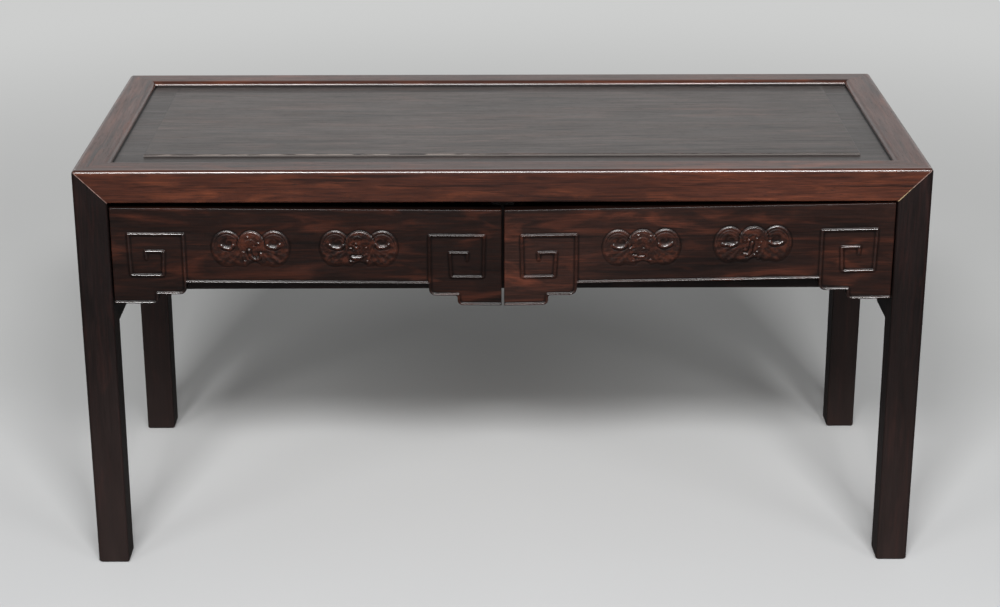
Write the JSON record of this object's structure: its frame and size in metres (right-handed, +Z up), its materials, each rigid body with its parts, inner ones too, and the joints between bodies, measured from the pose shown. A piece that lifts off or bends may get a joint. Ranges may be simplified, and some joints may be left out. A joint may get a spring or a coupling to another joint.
{
  "type": "kang table",
  "caption": "Low rectangular hardwood table with a framed panel top, straight legs, stepped key-fret aprons and carved drawers at the front.",
  "frame": {"origin": "on the floor, under the middle of the table", "axes": "+X along the long side to the right as seen from the drawer side, +Y from the drawers to the back, +Z up"},
  "size_m": [0.96, 0.432, 0.485],
  "materials": {
    "frame_hardwood": "waxed, semi-gloss, reddish brown with dark streaks",
    "panel_hardwood": "waxed, semi-gloss, grey brown with fine straight grain",
    "leg_hardwood": "waxed, semi-gloss, nearly black brown",
    "carved_hardwood": "waxed, semi-gloss, dark brown red with carved relief",
    "inner_softwood": "unpolished, matt, light brown"
  },
  "bodies": {
    "carcass": {"front_top_rail": "frame_hardwood", "back_top_rail": "frame_hardwood", "left_end_rail": "frame_hardwood", "right_end_rail": "frame_hardwood", "top_panel": "panel_hardwood", "left_panel_batten": "inner_softwood", "centre_panel_batten": "inner_softwood", "right_panel_batten": "inner_softwood", "front_left_leg": "leg_hardwood", "front_right_leg": "leg_hardwood", "back_left_leg": "leg_hardwood", "back_right_leg": "leg_hardwood", "front_lower_rail": "leg_hardwood", "centre_stile": "leg_hardwood", "left_apron": "carved_hardwood", "right_apron": "carved_hardwood", "back_apron": "carved_hardwood", "left_runner": "inner_softwood", "centre_runner": "inner_softwood", "right_runner": "inner_softwood", "left_guide_strip": "inner_softwood", "centre_guide_strip": "inner_softwood", "right_guide_strip": "inner_softwood"},
    "left_drawer": {"left_drawer_front": "carved_hardwood", "left_drawer_outer_side": "inner_softwood", "left_drawer_inner_side": "inner_softwood", "left_drawer_back": "inner_softwood", "left_drawer_bottom": "inner_softwood"},
    "right_drawer": {"right_drawer_front": "carved_hardwood", "right_drawer_outer_side": "inner_softwood", "right_drawer_inner_side": "inner_softwood", "right_drawer_back": "inner_softwood", "right_drawer_bottom": "inner_softwood"}
  },
  "joints": [
    {"name": "left_drawer_slide", "type": "slide", "parent": "carcass", "child": "left_drawer", "axis": [0, -1, 0], "range_m": [0, 0.28]},
    {"name": "right_drawer_slide", "type": "slide", "parent": "carcass", "child": "right_drawer", "axis": [0, -1, 0], "range_m": [0, 0.28]}
  ]
}
